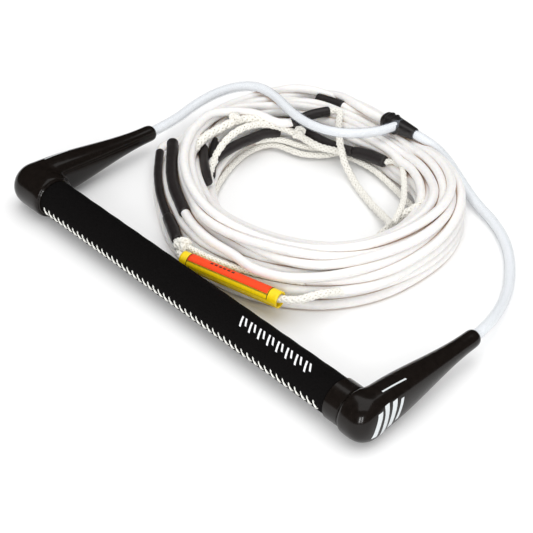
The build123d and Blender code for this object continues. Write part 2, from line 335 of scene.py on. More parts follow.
SLEEVES = {
    "outer": (0.0066, metres([
        (-151, 53.5, 11.3), (-136, 38.8, 11.5), (-118.5, 24.5, 11.8), (-100, 12, 12),
        (-80.3, 1.8, 12),
    ])),
    "outer_splice": (0.0096, metres([
        (-80.3, 1.8, 12), (-70, -3.2, 12.5), (-61, -7.9, 13), (-51.5, -13.1, 13.5),
    ])),
    "left": (0.0094, metres([
        (-140.4, 58.1, 23), (-127, 46.5, 24), (-110.5, 31.5, 24.5), (-93, 19, 24.5),
        (-76, 10.5, 24), (-62.5, 4.2, 23.5),
    ])),
    "inner_a": (0.0076, metres([
        (-124, 75.6, 21), (-111.5, 64.4, 20.5), (-97.5, 54.3, 19.5), (-86, 47, 18),
    ])),
    "inner_b": (0.0076, metres([
        (-129, 92, 15), (-119.4, 81.7, 14.5), (-107.3, 69.1, 14), (-96.2, 58.5, 13),
    ])),
    "inner_back": (0.0084, metres([
        (-105.5, 70, 19), (-107.3, 82, 19.3), (-108.4, 94, 19), (-108.6, 105.5, 18.2),
        (-108.4, 117, 17), (-108, 128, 17), (-103.5, 137, 14),
    ])),
    "back": (0.0084, metres([
        (-112, 152, 14), (-96, 154.8, 13), (-78, 155.6, 12), (-60, 158, 12), (-47.5, 163.3, 12),
    ])),
    "back_splice": (0.0104, metres([
        (-47.5, 163.3, 12), (-38, 167.5, 12.3), (-28, 169.8, 12.7), (-18.8, 170.3, 13.2),
    ])),
    "upper": (0.0082, metres([
        (-95.5, 143, 24.5), (-92, 152.5, 27.5), (-87.8, 163, 29), (-82.8, 172, 29),
    ])),
    "far": (0.0082, metres([(-108, 183, 25), (-96, 186.5, 26), (-84, 188.5, 26)])),
    "under": (0.0080, metres([(37, 149.5, 5), (49.5, 141.5, 5), (60, 130.5, 5), (67, 118, 5)])),
}
BRAIDS = {
    "tag_loop": (BRAID_D, metres([
        (-51.5, -13.1, 13.5), (-41, -21.5, 15), (-28, -27.9, 17), (-9, -23.4, 17.6),
        (25, -14.8, 17.3), (50, -9.3, 17.6), (63, -2.5, 19.5), (68.5, 8.5, 21.5), (72, 20.5, 20),
        (74, 32, 15.5),
    ])),
    "tag_return": (TWIN_D, metres([
        (-42, -17.6, 18.5), (-31, -16.8, 19), (-18, -15.3, 19), (-4.7, -11.8, 19),
        (9.5, -7.5, 19.2), (24.1, -1.6, 19.6), (40, 5.6, 20.2), (53, 14.6, 20.8),
    ])),
    "left_loop": (THICK_BRAID_D, metres([
        (-117.5, 60, 26), (-120.5, 70, 29.5), (-121.3, 80, 30.5), (-120.7, 90, 31),
        (-120.8, 100, 31.3), (-119.3, 110.5, 31), (-115.5, 121, 29), (-110, 130, 25.5),
    ])),
    "inner_loop": (BRAID_D, metres([
        (-84, 43, 9), (-93.5, 53.5, 13.5), (-102, 65, 18.5), (-108, 77.5, 24), (-111, 91, 28),
        (-112, 105, 29), (-110.8, 119, 27), (-106.5, 131.5, 23), (-98.5, 140, 19),
        (-88, 144, 16.3), (-77, 144.8, 15), (-66.5, 148, 13), (-59, 155, 11.5), (-50.5, 160.5, 11),
    ])),
    "low_loop": (TWIN_D, metres([
        (-80, 43, 3.5), (-90.5, 58, 3.8), (-99.5, 73.5, 4), (-106.5, 90, 4), (-111, 106, 4.2),
        (-111, 119, 4.5), (-107.5, 129, 5), (-100, 134.5, 5), (-90, 136, 5), (-80.5, 138.5, 5),
        (-73, 144.5, 4.5), (-66.5, 151.5, 4.5), (-62.5, 159, 4.5), (-60.5, 167, 4.5),
    ])),
    "low_twin": (TWIN_D, metres([
        (-111, 118, 11), (-106, 130, 11), (-96.5, 137.5, 10), (-86.5, 141, 9), (-77.5, 147.5, 7.5),
        (-70.5, 156, 6), (-66.5, 165.5, 5.5),
    ])),
    "hanging_loop": (BRAID_D, metres([
        (-82.8, 172, 29), (-79.6, 177.2, 29.4), (-74, 176, 29.6), (-68.5, 168, 28.3),
        (-59.5, 159.5, 23.5), (-51, 153.8, 17), (-43.5, 150.5, 9.5), (-34, 147.5, 4.8),
        (-21, 141.5, 3.4), (-7.5, 136.5, 3.3), (7, 131.5, 3.5), (21.6, 126, 6), (35, 118.5, 11),
        (45, 110, 17),
    ])),
    "far_loop": (TWIN_D, metres([
        (-18.8, 170.3, 13.2), (-12.5, 174, 16.5), (-4.5, 172.8, 18.5), (4, 165.8, 19.3),
        (13.5, 156.5, 20.5), (24.5, 145.3, 22), (35, 133.5, 24), (43.5, 121, 25.5), (49, 108, 23),
    ])),
    "low_run": (TWIN_D, metres([
        (-66, 161, 5), (-48, 164.3, 5), (-28, 165.8, 5), (-8, 161.5, 5), (9, 157, 5),
        (24, 152.5, 5), (37, 149.5, 5),
    ])),
    "right_tail": (BRAID_D, metres([
        (17, 32, 3.4), (22.5, 43, 3.4), (28.5, 54.5, 3.4), (33.3, 66.5, 3.4),
        (37, 78.5, 3.8), (40, 91, 5.5), (40.8, 102.5, 9.5), (42.5, 112.5, 15.5),
        (45.8, 121, 22), (49.5, 129.5, 26.5), (51.5, 138, 28),
    ])),
}


# ----------------------------------------------------------------- places of the tag and the yoke
TAG_START, TAG_FINISH = Vector((-0.028, -0.0275, 0.0175)), Vector((0.053, -0.0085, 0.0175))
TAG_R, TAG_WALL = 0.0062, 0.0012
SPLIT_EDGE, TAG_WRAP = 126, 340  # degrees from the top towards the front
YOKE_START, YOKE_HEADING = np.array((-0.043, 0.1931, 0.031)), np.array((1, 0.075, 0))
YOKE_LENGTH, YOKE_REACH, YOKE_SQUARENESS = 0.031, 0.0072, 2.6


# ----------------------------------------------------------------- the coil of tow line
STATIONS = 48
COIL_SEED = 7
SETTLING_ROUNDS = 420
MAIN_TURNS, SHORT_TURNS = 14, 2
LAYER_HEIGHTS = (3.5, 9.5, 15.5, 20.0)
IN_SLEEVE, OUT_OF_SLEEVE = 0.008, 0.007


def round_the_coil(edge, turn):
    """A point on one edge of the coil; turn counts whole turns, anticlockwise from the right."""
    count = len(edge)
    at = (turn % 1.0) * count
    i, t = int(at), at - int(at)
    a, b, c, d = (np.array(edge[(i + k) % count]) for k in (-1, 0, 1, 2))
    return 0.5 * (
        2 * b + (c - a) * t + (2 * a - 5 * b + 4 * c - d) * t**2 + (3 * b - a - 3 * c + d) * t**3
    )


def turn_of(point):
    """The turn, from 0 to 1, whose spoke of the coil passes nearest a point."""
    turns = np.arange(0, 1, 1 / 480)
    near = []
    for turn in turns:
        a, b = round_the_coil(COIL_INSIDE, turn), round_the_coil(COIL_OUTSIDE, turn)
        spoke = (b - a) / np.linalg.norm(b - a)
        away = np.array(point[:2]) - a
        near.append(abs(away[0] * spoke[1] - away[1] * spoke[0]) + 9 * (away @ spoke < -0.03))
    return float(turns[int(np.argmin(near))])


class Strand:
    """One section of line: its nodes sit on the coil's spokes, with a place along each and a height."""

    def __init__(self, name, start, turns, first, last, lanes, heights, wander):
        self.name = name
        self.turn = start + np.arange(int(round(turns * STATIONS)) + 1) / STATIONS
        self.station = np.round(self.turn * STATIONS).astype(int) % STATIONS
        progress = np.linspace(0, 1, len(self.turn))
        self.lane = np.interp(progress, np.linspace(0, 1, len(lanes)), lanes)
        self.target_height = np.interp(progress, np.linspace(0, 1, len(heights)), heights)
        for reach, waves, phase in wander:
            self.lane += reach * np.sin(2 * np.pi * (waves * self.turn + phase))
        self.first, self.last = first, last


def settle_on(place, x, z, sideways, free, line, keep, rule):
    """Keeps nodes off one obstacle: away from it all round, or under it and beside it."""
    away = place[:, None] - line[None]
    rows = np.arange(len(place))
    if rule == "round":
        far = np.linalg.norm(away, axis=2)
        near = far.argmin(1)
        best = far[rows, near]
        hit = np.flatnonzero((best < keep) & free)
        out = away[hit, near[hit]] / best[hit, None] * (keep - best[hit])[:, None]
        x[hit] += 0.7 * (out[:, :2] * sideways[hit]).sum(1)
        z[hit] += 0.7 * out[:, 2]
        return
    flat = np.linalg.norm(away[..., :2], axis=2)
    near = flat.argmin(1)
    best = flat[rows, near]
    above = away[rows, near, 2]
    if rule == "under":
        over = np.flatnonzero((best < keep + 0.009) & (above > -keep) & free)
        z[over] -= 0.5 * (above[over] + keep)
        return
    drop = above + np.sqrt(np.clip(keep**2 - best**2, 0, None))
    side = np.where(above > 0, keep, np.sqrt(np.clip(keep**2 - above**2, 0, None))) - best
    hit = (best < keep) & (drop > 0) & free
    down = hit & (drop < 1.5 * side) & (z - drop > LINE_D / 2)
    z[down] -= 0.7 * drop[down]
    beside = np.flatnonzero(hit & ~down)
    along = (away[beside, near[beside], :2] * sideways[beside]).sum(1)
    if rule == "outer":
        x[beside] += 0.5 * (side[beside] + np.where(along < 0, 2 * -along, 0))
    else:
        x[beside] += 0.5 * side[beside] * np.where(along < 0, -1, 1)


def lay_line(strands, obstacles):
    """Settles the strands: they sink, keep off each other and off obstacles, and stay smooth."""
    spokes = []
    for s in range(STATIONS):
        a = round_the_coil(COIL_INSIDE, s / STATIONS)
        b = round_the_coil(COIL_OUTSIDE, s / STATIONS)
        spokes.append((a, (b - a) / np.linalg.norm(b - a), np.linalg.norm(b - a)))
    start = np.array([s[0] for s in spokes])
    way = np.array([s[1] for s in spokes])
    width = np.array([s[2] for s in spokes])
    station = np.concatenate([s.station for s in strands])
    chain = np.concatenate([[i] * len(s.turn) for i, s in enumerate(strands)])
    w = width[station]
    lane = LINE_D / 2 + np.clip(np.concatenate([s.lane for s in strands]), 0, 1) * (w - LINE_D)
    x = lane.copy()
    z = np.concatenate([s.target_height for s in strands]).copy()
    aim_z = z.copy()
    joined = chain[1:] == chain[:-1]
    before = np.concatenate([[False], joined])
    after = np.concatenate([joined, [False]])
    free = np.ones(len(x), bool)
    clear_of_ends = np.ones(len(x), bool)
    for i, s in enumerate(strands):
        own = np.flatnonzero(chain == i)
        for end, place in ((own[0], s.first), (own[-1], s.last)):
            k = station[end]
            x[end] = (np.array(place[:2]) - start[k]) @ way[k]
            z[end] = place[2]
            free[end] = False
        clear_of_ends[own[:2]] = False
        clear_of_ends[own[-2:]] = False
    middle = np.flatnonzero(before & after & free)
    groups = [np.flatnonzero(station == k) for k in range(STATIONS)]
    gap = LINE_D * 1.01
    for step in range(SETTLING_ROUNDS):
        settling = step < SETTLING_ROUNDS * 0.8
        if settling:
            x[free] += 0.035 * (lane - x)[free]
            z[free] += 0.02 * (aim_z - z)[free] - 0.00006
        sx, sz = x.copy(), z.copy()
        sx[middle] = 0.5 * x[middle] + 0.25 * (x[middle - 1] + x[middle + 1])
        sz[middle] = 0.5 * z[middle] + 0.25 * (z[middle - 1] + z[middle + 1])
        x, z = sx, sz
        for g in groups:
            dx = x[g][:, None] - x[g][None]
            dz = z[g][:, None] - z[g][None]
            far = np.sqrt(dx**2 + dz**2) + 1e-9
            push = np.clip(gap - far, 0, None)
            np.fill_diagonal(push, 0)
            x[g] += (0.42 * push * dx / far).sum(1) * free[g]
            z[g] += (0.42 * push * dz / far).sum(1) * free[g]
        if step % 4 == 0 or not settling:
            for line, keep, rule in obstacles:
                place = np.column_stack([start[station] + way[station] * x[:, None], z])
                settle_on(place, x, z, way[station], clear_of_ends, line, keep, rule)
        z = np.maximum(z, LINE_D / 2)
        x = np.where(free, np.clip(x, LINE_D * 0.3, w - LINE_D * 0.3), x)
    place = np.column_stack([start[station] + way[station] * x[:, None], z])
    return [place[chain == i] for i in range(len(strands))]


def coil_strands():
    """The five sections of the tow line, in the order in which they leave the yoke."""
    rng = np.random.default_rng(COIL_SEED)

    def wander(reach):
        return [
            (reach * rng.uniform(0.5, 1), waves, rng.uniform()) for waves in (0.31, 0.57, 1.13)
        ]

    def section(name, first, last, turns, lanes, heights, reach):
        start = turn_of(first)
        over = (turn_of(last) - start) % 1.0
        start = round(start * STATIONS) / STATIONS
        return Strand(
            name, start, turns + round(over * STATIONS) / STATIONS, first, last, lanes, heights,
            wander(reach),
        )

    main_lanes, main_heights = [], []
    for layer, height in enumerate(LAYER_HEIGHTS):
        order = np.linspace(0.03, 1.0, 5) if layer % 2 == 0 else np.linspace(1.0, 0.15, 4)
        main_lanes += list(order)
        main_heights += [height * MM] * len(order)
    main_lanes = [0.6] + main_lanes[::-1] + [0.95]
    main_heights = [0.022] + main_heights[::-1] + [0.010]
    return [
        section("1", LEAD[-1], SLEEVES["outer"][1][0], MAIN_TURNS,
                main_lanes, main_heights, 0.07),
        section("2", SLEEVES["left"][1][-1], SLEEVES["inner_a"][1][0], SHORT_TURNS,
                [0.8, 0.62, 0.55, 0.4], [0.022, 0.022, 0.02, 0.023], 0.10),
        section("3", SLEEVES["inner_back"][1][0], SLEEVES["inner_b"][1][0], SHORT_TURNS,
                [0.1, 0.12, 0.25, 0.4], [0.018, 0.022, 0.02, 0.022], 0.10),
        section("4", SLEEVES["back"][1][0], SLEEVES["far"][1][-1], SHORT_TURNS,
                [0.1, 0.35, 0.6, 0.6], [0.02, 0.024, 0.022, 0.024], 0.10),
        section("5", SLEEVES["upper"][1][0], SLEEVES["under"][1][-1], SHORT_TURNS,
                [0.2, 0.8, 0.4, 0.02], [0.026, 0.024, 0.016, 0.006], 0.10),
    ]


def coil_obstacles():
    """What the coil's strands stay off: (line, distance, rule)."""
    rules = {
        "outer_splice": "top", "outer": "top", "left": "top", "inner_a": "outer", "inner_b": "outer",
        "inner_back": "outer", "back": "outer", "back_splice": "outer", "upper": "top",
        "right_tail": "outer",
    }
    found = []
    for name, (diameter, points) in (*SLEEVES.items(), *BRAIDS.items()):
        line = evenly(line_of(nurbs("route", points, diameter)), 0.004)
        if name in BRAIDS:
            line = line[3:-3]
        rule = rules.get(name, "round" if name in SLEEVES else "top")
        found.append((line, (LINE_D + diameter) / 2, rule))
    bridle_keep = (LINE_D + BRIDLE_D) / 2
    left = evenly(line_of(nurbs("route", BRIDLE_LEFT, BRIDLE_D)), 0.004)
    found.append((left, bridle_keep, "under"))
    right = evenly(line_of(nurbs("route", BRIDLE_RIGHT, BRIDLE_D)), 0.004)
    found.append((right, bridle_keep, "round"))
    found.append((evenly([TAG_START, TAG_FINISH], 0.004), LINE_D / 2 + TAG_R + 0.0004, "top"))
    yoke_line = evenly([YOKE_START, YOKE_START + YOKE_HEADING * YOKE_LENGTH], 0.004)
    found.append((yoke_line, LINE_D / 2 + YOKE_REACH, "under"))
    return found


def past_the_end(route, reach):
    """The point in line with a route's last run, this far past its end, or before it if negative."""
    last, before = Vector(route[-1]), Vector(route[-2])
    return tuple(last + (last - before).normalized() * reach)


def coiled_line(material):
    """The five sections: {name: (piece, start, length)}."""
    obstacles = coil_obstacles()
    strands = coil_strands()
    nodes = lay_line(strands, obstacles)
    tails = {
        "1": (LEAD, SLEEVES["outer"][1]),
        "2": (SLEEVES["left"][1], SLEEVES["inner_a"][1]),
        "3": (SLEEVES["inner_back"][1][::-1], SLEEVES["inner_b"][1]),
        "4": (SLEEVES["back"][1][::-1], SLEEVES["far"][1][::-1]),
        "5": (SLEEVES["upper"][1][::-1], SLEEVES["under"][1][::-1]),
    }
    cords = {}
    for strand, line in zip(strands, nodes):
        before, after = tails[strand.name]
        first = before if strand.name == "1" else [past_the_end(before, -IN_SLEEVE)]
        hidden = 0.0005 if strand.name == "1" else IN_SLEEVE
        points = [
            *first, past_the_end(before, OUT_OF_SLEEVE), *map(tuple, line[2:-2]),
            past_the_end(after[::-1], OUT_OF_SLEEVE), past_the_end(after[::-1], -hidden),
        ]
        data = nurbs(f"line_{strand.name}", points, LINE_D, resolution=3, roundness=4)
        data.materials.append(material)
        cord = add(f"line_{strand.name}", data)
        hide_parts(f"line_section_{strand.name}")
        cords[strand.name] = (cord, points[0], length_of(line_of(data)))
    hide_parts("lead_line")
    return cords


# ----------------------------------------------------------------- bridle
def bridle_leg(name, points, jacket, core):
    """One leg of the bridle: a white core in a clear jacket, from the cap's knot to the yoke."""
    inside = nurbs(f"{name}_core", points, BRIDLE_D * 0.80, resolution=8)
    inside.materials.append(core)
    inner = add(f"{name}_core", inside)
    outside = nurbs(f"{name}_jacket", points, BRIDLE_D, resolution=8)
    outside.materials.append(jacket)
    leg = add(f"{name}_jacket", outside)
    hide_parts(name)


# ----------------------------------------------------------------- braided cords and their knots
def braid_parts(line, diameter):
    """Two sets of strands wound opposite ways, each passing over and under the other set."""
    line = evenly(line, diameter * 0.22)
    along = np.arange(len(line)) * (length_of(line) / (len(line) - 1))
    _, across, up = carried(line)
    strand_r = diameter * 0.155
    middle_r = diameter / 2 - strand_r * 1.18
    lay = diameter * 2.5
    each = BRAID_STRANDS // 2
    parts = []
    for way in (1, -1):
        for i in range(each):
            start = (i + (0.5 if way < 0 else 0.0)) / each
            angle = 2 * np.pi * (start + way * along / lay)
            crossing = 2 * np.pi * along / lay * each + np.pi * i
            reach = middle_r + way * strand_r * 0.28 * np.cos(crossing)
            path = line + across * (reach * np.cos(angle))[:, None]
            path += up * (reach * np.sin(angle))[:, None]
            parts.append(tube_parts(path, strand_r, 6))
    parts.append(tube_parts(line, middle_r * 0.88, 10))
    return parts


def braided_cords(material):
    for name, (diameter, points) in BRAIDS.items():
        line = line_of(nurbs("route", points, diameter, resolution=12))
        mesh = joined_mesh(f"braid_{name}", braid_parts(line, diameter))
        cord = add(f"braided_{name}", mesh, material=material)
        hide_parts(f"braid_{name}")


def knot_mesh(name, place, radius, lean):
    """A thumb knot: a braid that winds round itself in a tight trefoil."""
    turn = np.linspace(0, 2 * np.pi, 90)
    size = radius * 0.30
    path = np.column_stack([
        np.sin(turn) + 1.7 * np.sin(2 * turn),
        np.cos(turn) - 1.7 * np.cos(2 * turn),
        -1.5 * np.sin(3 * turn),
    ]) * size * 0.78
    c, s = math.cos(lean), math.sin(lean)
    tilt = np.array([[c, -s, 0], [s * 0.6, c * 0.6, -0.8], [s * 0.8, c * 0.8, 0.6]])
    path = path @ tilt.T + np.array(place)
    return joined_mesh(name, braid_parts(path, radius * 0.92))


def knots(material):
    places = metres([(-38.5, -19, 19.5), (-120.3, 105.5, 33), (-88, 144, 18)])
    sizes = (0.0066, 0.0058, 0.0060)
    for i, (place, size) in enumerate(zip(places, sizes)):
        knot = add(f"knot_{i + 1}", knot_mesh(f"knot_{i + 1}", place, size, 0.7 + 1.3 * i),
                   material=material)
        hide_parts("braid_knots")


# ----------------------------------------------------------------- black sleeves on the line
def sleeve(name, diameter, points, material, phase):
    """Shrunk tube: it follows what is in it, so its width wavers, and its mouths turn in."""
    step = 0.0006
    line = evenly(line_of(nurbs("route", points, diameter, resolution=12)), step)
    along = np.arange(len(line)) * step
    length = along[-1]
    waver = 1 + 0.012 * np.sin(along * 260 + phase) + 0.008 * np.sin(along * 610 + 2 * phase)
    from_end = np.minimum(along, length - along)
    lip = np.clip(from_end / 0.0016, 0, 1)
    radius = diameter / 2 * 0.98 * waver * (0.80 + 0.20 * np.sqrt(1 - (1 - lip) ** 2))
    if "splice" in name:
        radius *= 0.86 + 0.14 * np.sin(np.pi * along / length) ** 0.7
    mesh = joined_mesh(f"sleeve_{name}", [tube_parts(line, radius, 28)])
    piece = add(f"shrunk_{name}", mesh, material=material)
    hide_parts(f"sleeve_{name}")
    return piece


# ----------------------------------------------------------------- yoke
def modified(piece, *steps):
    """The mesh of a piece after these modifiers, given as (type, {setting: value})."""
    for kind, settings in steps:
        modifier = piece.modifiers.new(kind, kind)
        for setting, value in settings.items():
            setattr(modifier, setting, value)
    bpy.context.view_layer.update()
    ready = bpy.data.meshes.new_from_object(
        piece.evaluated_get(bpy.context.evaluated_depsgraph_get())
    )
    piece.modifiers.clear()
    piece.data = ready
    return ready


def scratch(parts):
    """A piece that is only used to work out a mesh, from these tubes and shells."""
    piece = bpy.data.objects.new("scratch", joined_mesh("scratch", parts))
    bpy.context.scene.collection.objects.link(piece)
    return piece


def discard(piece):
    bpy.data.objects.remove(piece)


def squared(width, height, power, sides):
    """A rounded outline between an ellipse (power 2) and a rectangle (a large power)."""
    turn = np.linspace(0, 2 * np.pi, sides, endpoint=False)
    c, s = np.cos(turn), np.sin(turn)
    return np.column_stack([
        width * np.sign(c) * np.abs(c) ** (2 / power), height * np.sign(s) * np.abs(s) ** (2 / power)
    ])


def lofted(middles, outlines, across, up):
    """Vertices and faces through outlines set at these middles; across and up are fixed ways."""
    points = np.concatenate([
        np.array(m) + o[:, :1] * np.array(across) + o[:, 1:] * np.array(up)
        for m, o in zip(middles, outlines)
    ])
    return points, tube_faces(len(middles), len(outlines[0]))


def yoke(material):
    """The moulded joint between the tow line and the bridle's two legs."""
    stations = [(0, 5.4), (0.5, 6.0), (1.5, 6.6), (3, 6.9), (11, 6.8), (15, 6.3), (22, 5.5),
                (28, 4.8), (31, 4.35)]
    middles = [YOKE_START + YOKE_HEADING * at * MM for at, _ in stations]
    outlines = [squared(r * MM, r * MM, YOKE_SQUARENESS, 40) for _, r in stations]
    body = lofted(middles, outlines, (-YOKE_HEADING[1], 1, 0), (0, 0, 1))
    side = np.array([(-28.2, 187.0, 31.7), (-28.2, 187.6, 31.6), (-28.2, 190, 31.4), (-28.2, 194, 31)])
    boss = tube_parts(side * MM, np.array([4.4, 4.7, 4.8, 4.8]) * MM, 32)
    ribs = []
    for at in (5.0, 9.5):
        rib = evenly(squared_ring(YOKE_START + YOKE_HEADING * at * MM, 7.1 * MM), 0.0006)
        ribs.append(tube_parts(rib, 0.0005, 8))
    piece = scratch([body, boss])
    mesh = modified(
        piece,
        ("REMESH", {"mode": "VOXEL", "voxel_size": 0.0005}),
        ("SMOOTH", {"factor": 0.5, "iterations": 8}),
    )
    discard(piece)
    made = add("moulded_yoke", mesh, material=material)
    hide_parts("yoke")
    add("yoke_ribs", joined_mesh("yoke_ribs", ribs), material=material)


def squared_ring(middle, radius):
    """A closed ring of points across the yoke, squared off as the yoke is."""
    outline = squared(radius, radius, YOKE_SQUARENESS, 72)
    ring = np.array(middle) + outline[:, :1] * np.array((0, 1, 0)) + outline[:, 1:] * np.array((0, 0, 1))
    return np.concatenate([ring, ring[:2]])


# ----------------------------------------------------------------- end caps
ARM_REACH = 0.112
ARM_BASE_X, ARM_TIP_X = 0.174, 0.1695
CAP_SEAT = {1: 0.16375, -1: 0.15005}
CAP_END = 0.187
ARM_TIP_R, ARM_ROUND = 0.0067, 0.0035
ARM_TAPER_END = 0.101
ROPE_HOLE_R, BORE_R, COLLAR_R = 0.0046, 0.01106, 0.0152


def arm_outline(reach):
    """Half width, half height and squareness of the cap's arm at a distance from the bar."""
    halves = []
    for base, first in ((0.0122, 0.022), (0.0166, 0.006)):
        share = min(max((reach - first) / (ARM_TAPER_END - first), 0), 1)
        eased = 0.35 * (1 - share) + 0.65 * (1 + math.cos(math.pi * share)) / 2
        halves.append(ARM_TIP_R + (base - ARM_TIP_R) * eased)
    share = min(max(reach / 0.09, 0), 1)
    return halves[0], halves[1], 2.7 - 0.7 * share


def cap_mesh(side):
    """A round body over the bar's end that flows into a tapering arm, with the rope's hole."""
    rim, back = 0.0120, 0.0018
    seat = CAP_SEAT[side]
    profile = [(seat, CAP_R - back)] + [
        (seat + back * (1 - math.cos(a)), CAP_R - back * (1 - math.sin(a)))
        for a in np.linspace(0, math.pi / 2, 7)
    ]
    profile += [
        (CAP_END - rim * (1 - math.sin(a)), CAP_R - rim * (1 - math.cos(a)))
        for a in np.linspace(0, math.pi / 2, 14)
    ]
    body_line = [(x, BAR_Y, BAR_Z) for x, _ in profile]
    body = lofted(body_line, [squared(r, r, 2, 96) for _, r in profile], (0, 1, 0), (0, 0, 1))
    middles, outlines = [], []
    for reach in np.linspace(0, ARM_REACH - ARM_ROUND, 36):
        width, height, power = arm_outline(reach)
        middles.append((ARM_BASE_X + (ARM_TIP_X - ARM_BASE_X) * reach / ARM_REACH, BAR_Y + reach, BAR_Z))
        outlines.append(squared(width, height, power, 72))
    for a in np.linspace(0.15, math.pi / 2, 6):
        reach = ARM_REACH - ARM_ROUND * (1 - math.sin(a))
        radius = ARM_TIP_R - ARM_ROUND * (1 - math.cos(a))
        middles.append((ARM_TIP_X, BAR_Y + reach, BAR_Z))
        outlines.append(squared(radius, radius, 2, 72))
    arm = lofted(middles, outlines, (1, 0, 0), (0, 0, 1))
    piece = scratch([body, arm])
    modified(
        piece,
        ("REMESH", {"mode": "VOXEL", "voxel_size": 0.0009}),
        ("SMOOTH", {"factor": 0.5, "iterations": 60}),
    )
    bar_way = [(x, BAR_Y, BAR_Z) for x in (0.12, 0.176)]
    collar_way = [(x, BAR_Y, BAR_Z) for x in (0.12, CAP_SEAT[1])]
    rope_way = [(0.17063, 0.035, BAR_Z), (0.16882, 0.080, BAR_Z)]
    ream = scratch([tube_parts(rope_way, ROPE_HOLE_R, 40)])
    bore = scratch([tube_parts(bar_way, BORE_R, 64)])
    counterbore = scratch([tube_parts(collar_way, COLLAR_R, 64)])
    for tool in (ream, bore, counterbore):
        modified(piece, ("BOOLEAN", {"operation": "DIFFERENCE", "object": tool, "solver": "EXACT"}))
        discard(tool)
    mesh = piece.data
    discard(piece)
    if side < 0:
        mirrored = bmesh.new()
        mirrored.from_mesh(mesh)
        for v in mirrored.verts:
            v.co.x = -v.co.x
        bmesh.ops.reverse_faces(mirrored, faces=mirrored.faces)
        mirrored.to_mesh(mesh)
        mirrored.free()
    return mesh


def end_caps(material, silver):
    for side, name in ((1, "right"), (-1, "left")):
        cap = add(f"moulded_cap_{name}", cap_mesh(side), material=material)
        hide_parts(f"end_cap_{name}")
        cap_marks(cap, side, name, silver)


def decal(name, patches, target, way, lift, material):
    """Thin printed patches on a piece: grids of points thrown onto it along one way."""
    graph = bpy.context.evaluated_depsgraph_get()
    tree = BVHTree.FromObject(target, graph)
    points, faces = [], []
    for grid in patches:
        rows, columns = len(grid), len(grid[0])
        first = len(points)
        for row in grid:
            for spot in row:
                hit, normal, _, _ = tree.ray_cast(Vector(spot), Vector(way))
                points.append(tuple(hit + normal * lift) if hit else tuple(spot))
        faces += grid_faces(first, rows, columns)
    mesh = bpy.data.meshes.new(name)
    mesh.from_pydata(points, [], faces)
    add(name, mesh, material=material)


def slanted(corner, along, up, width, height, lean, columns=5, rows=9):
    """A grid over a slanted bar, from its lower corner; along and up are unit ways."""
    corner, along, up = np.array(corner), np.array(along), np.array(up)
    return [
        [
            tuple(corner + along * (width * c / (columns - 1) + lean * r / (rows - 1))
                  + up * (height * r / (rows - 1)))
            for c in range(columns)
        ]
        for r in range(rows)
    ]


def cap_marks(cap, side, name, silver):
    """Plain silver bars on the cap's outer side and a short line along its top."""
    bars = [(0.0, 0.0045, 0.017), (0.0075, 0.0045, 0.020), (0.0150, 0.0045, 0.018), (0.0225, 0.0030, 0.014)]
    patches = [
        slanted((side * 0.21, BAR_Y - 0.006 + at, BAR_Z - height / 2 + 0.001), (0, 1, 0), (0, 0, 1),
                width, height, 0.006)
        for at, width, height in bars
    ]
    decal(f"cap_bars_{name}", patches, cap, (-side, 0, 0), 0.00012, silver)
    top = [slanted((side * 0.1765, BAR_Y + 0.012, 0.06), (0, 1, 0), (side, 0, 0), 0.022, 0.0011, 0, 24, 3)]
    decal(f"cap_line_{name}", top, cap, (0, 0, -1), 0.00012, silver)


# ----------------------------------------------------------------- grip
def on_grip(x, degrees, radius=GRIP_R):
    """A point on the grip: degrees turn from straight up towards the front and under."""
    a = math.radians(degrees)
    return (x, BAR_Y - radius * math.sin(a), BAR_Z + radius * math.cos(a))


def grip_cover(material):
    """The sewn cover: a fine skin that dips at its seam and puckers between the stitches."""
    columns, rows = 420, 120
    points = []
    for i in range(columns + 1):
        x = -GRIP_HALF + 2 * GRIP_HALF * i / columns
        edge = min(1.0, (GRIP_HALF - abs(x)) / 0.0012)
        for k in range(rows):
            degrees = 360 * k / rows
            off = abs((degrees - SEAM + 180) % 360 - 180)
            pucker = 0.5 + 0.5 * math.cos(2 * math.pi * (x + GRIP_HALF - SEAM_START) / PITCH)
            dip = 0.00060 * math.exp(-((off / 4.0) ** 2))
            dip += 0.00028 * pucker * math.exp(-((off / 12.0) ** 2))
            wave = 0.00010 * math.sin(310 * x + 3 * math.radians(degrees))
            radius = GRIP_R - dip + wave - 0.0008 * (1 - math.sqrt(1 - (1 - edge) ** 2))
            points.append(on_grip(x, degrees, radius))
    faces = tube_faces(columns + 1, rows, closed=False)
    for i, x in ((0, -GRIP_HALF), (columns, GRIP_HALF)):
        first = len(points)
        points += [on_grip(x, 360 * k / rows, COVER_END_R) for k in range(rows)]
        for k in range(rows):
            n = (k + 1) % rows
            faces.append((i * rows + k, i * rows + n, first + n, first + k))
    cover = add("sewn_cover", joined_mesh("sewn_cover", [(np.array(points), faces)]),
                material=material)
    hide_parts("grip_cover")


def grip_stitches(material):
    """White thread: one slanted stitch at each step along the seam, drawn into the cover."""
    parts = []
    for i in range(STITCHES):
        x = -GRIP_HALF + SEAM_START + PITCH * (i + 0.5)
        path = []
        for t in np.linspace(-1, 1, 15):
            rise = 0.00055 * (1 - t * t) - 0.0006 * t**4
            path.append(on_grip(x + 0.0019 * t, SEAM + 12 * t, GRIP_R + rise))
        path = np.array(path)
        _, across, up = carried(path)
        for ply in (0, np.pi):
            turn = np.linspace(0, 5.5, len(path)) + ply
            twist = across * np.cos(turn)[:, None] + up * np.sin(turn)[:, None]
            parts.append(tube_parts(path + twist * 0.00028, 0.00036, 8))
    thread = add("stitch_thread", joined_mesh("stitch_thread", parts),
                 material=material)
    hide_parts("seam_stitches")


